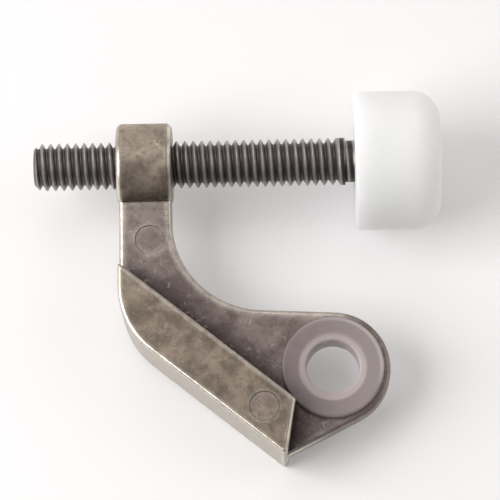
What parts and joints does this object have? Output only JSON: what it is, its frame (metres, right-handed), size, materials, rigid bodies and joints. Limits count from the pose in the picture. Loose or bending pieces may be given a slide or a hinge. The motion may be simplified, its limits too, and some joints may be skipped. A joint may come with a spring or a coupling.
{
  "type": "hinge pin door stop",
  "caption": "Hinge pin door stop: a cast arm with a bushed eye for the hinge pin, a wall that bears on the door casing, and a threaded rod that carries a rubber bumper.",
  "frame": {"origin": "on the axis of the hinge pin's bore, in the mid-plane of the arm plate", "axes": "+X along the adjusting rod to its bumper, +Y from the hinge pin to the rod, +Z along the hinge pin, to its head"},
  "size_m": [0.068, 0.0622, 0.0232],
  "materials": {
    "antique_pewter": "antique pewter plating on a zinc casting: brown-grey and mottled, burnished bright along its edges",
    "rod_steel": "dark gunmetal plating on rolled thread, bright on the crests",
    "bumper_rubber": "white moulded rubber, satin",
    "bushing_plastic": "translucent natural plastic, smooth"
  },
  "bodies": {
    "body": {"stop_body": "antique_pewter", "pin_bushing": "bushing_plastic"},
    "bumper": {"rubber_bumper": "bumper_rubber"},
    "rod": {"adjusting_rod": "rod_steel"}
  },
  "joints": [
    {"name": "bumper_travel", "type": "slide", "parent": "body", "child": "bumper", "axis": [1, 0, 0], "range_m": [-0.0304, 0.0139]},
    {"name": "rod_turn", "type": "hinge", "parent": "bumper", "child": "rod", "pos_m": [0, 0.0357, 0], "axis": [1, 0, 0], "range_deg": [-7760, 3550]}
  ],
  "couplings": [
    {"joint": "rod_turn", "follows": "bumper_travel", "rad_per_m": 4452.7}
  ]
}
